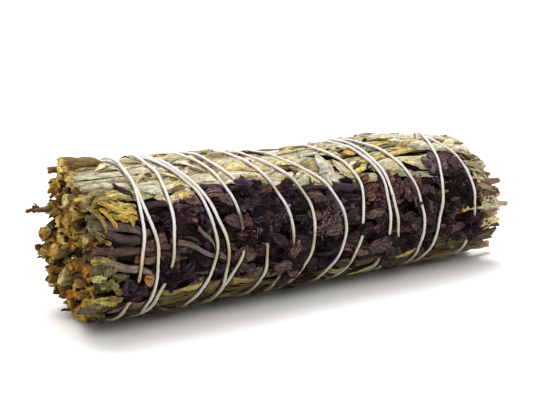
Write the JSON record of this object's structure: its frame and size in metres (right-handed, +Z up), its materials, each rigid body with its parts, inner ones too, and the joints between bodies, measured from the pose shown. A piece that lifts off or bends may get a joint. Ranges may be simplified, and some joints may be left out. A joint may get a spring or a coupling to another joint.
{
  "type": "smudge stick",
  "caption": "Bundle of dried sage stems and dark flower sprays, laid lengthwise and tied with one length of cotton string wound along it and back.",
  "frame": {"origin": "centre of the bounding box in plan, on the surface that the stick lies on", "axes": "+X along the stick from the cut stem ends to the leafy end, +Z up, -Y towards the side covered with flower sprays"},
  "size_m": [0.1134, 0.0328, 0.0332],
  "materials": {
    "sage_stem": "dry, matte",
    "dried_sage": "dry, matte",
    "dried_flower": "dry, matte",
    "cotton_string": "matte, slightly fuzzy"
  },
  "bodies": {
    "root": {"core_stem_center": "sage_stem", "core_stem_inner_1": "sage_stem", "core_stem_inner_2": "sage_stem", "core_stem_inner_3": "sage_stem", "core_stem_inner_4": "sage_stem", "core_stem_inner_5": "sage_stem", "core_stem_middle_1": "sage_stem", "core_stem_middle_2": "sage_stem", "core_stem_middle_3": "sage_stem", "core_stem_middle_4": "sage_stem", "core_stem_middle_5": "sage_stem", "core_stem_middle_6": "sage_stem", "core_stem_middle_7": "sage_stem", "core_stem_middle_8": "sage_stem", "core_stem_middle_9": "sage_stem", "core_stem_middle_10": "sage_stem", "sage_stem_1": "dried_sage", "sage_stem_2": "dried_sage", "sage_stem_3": "dried_sage", "sage_stem_4": "dried_sage", "sage_stem_5": "dried_sage", "sage_stem_6": "dried_sage", "sage_stem_7": "dried_sage", "sage_stem_8": "dried_sage", "sage_stem_9": "dried_sage", "sage_stem_10": "dried_sage", "sage_stem_11": "dried_sage", "sage_stem_12": "dried_sage", "sage_stem_13": "dried_sage", "sage_stem_14": "dried_sage", "sage_stem_15": "dried_sage", "flower_spray_1": "dried_flower", "flower_spray_2": "dried_flower", "flower_spray_3": "dried_flower", "flower_spray_4": "dried_flower", "flower_spray_5": "dried_flower", "string": "cotton_string"}
  },
  "joints": []
}
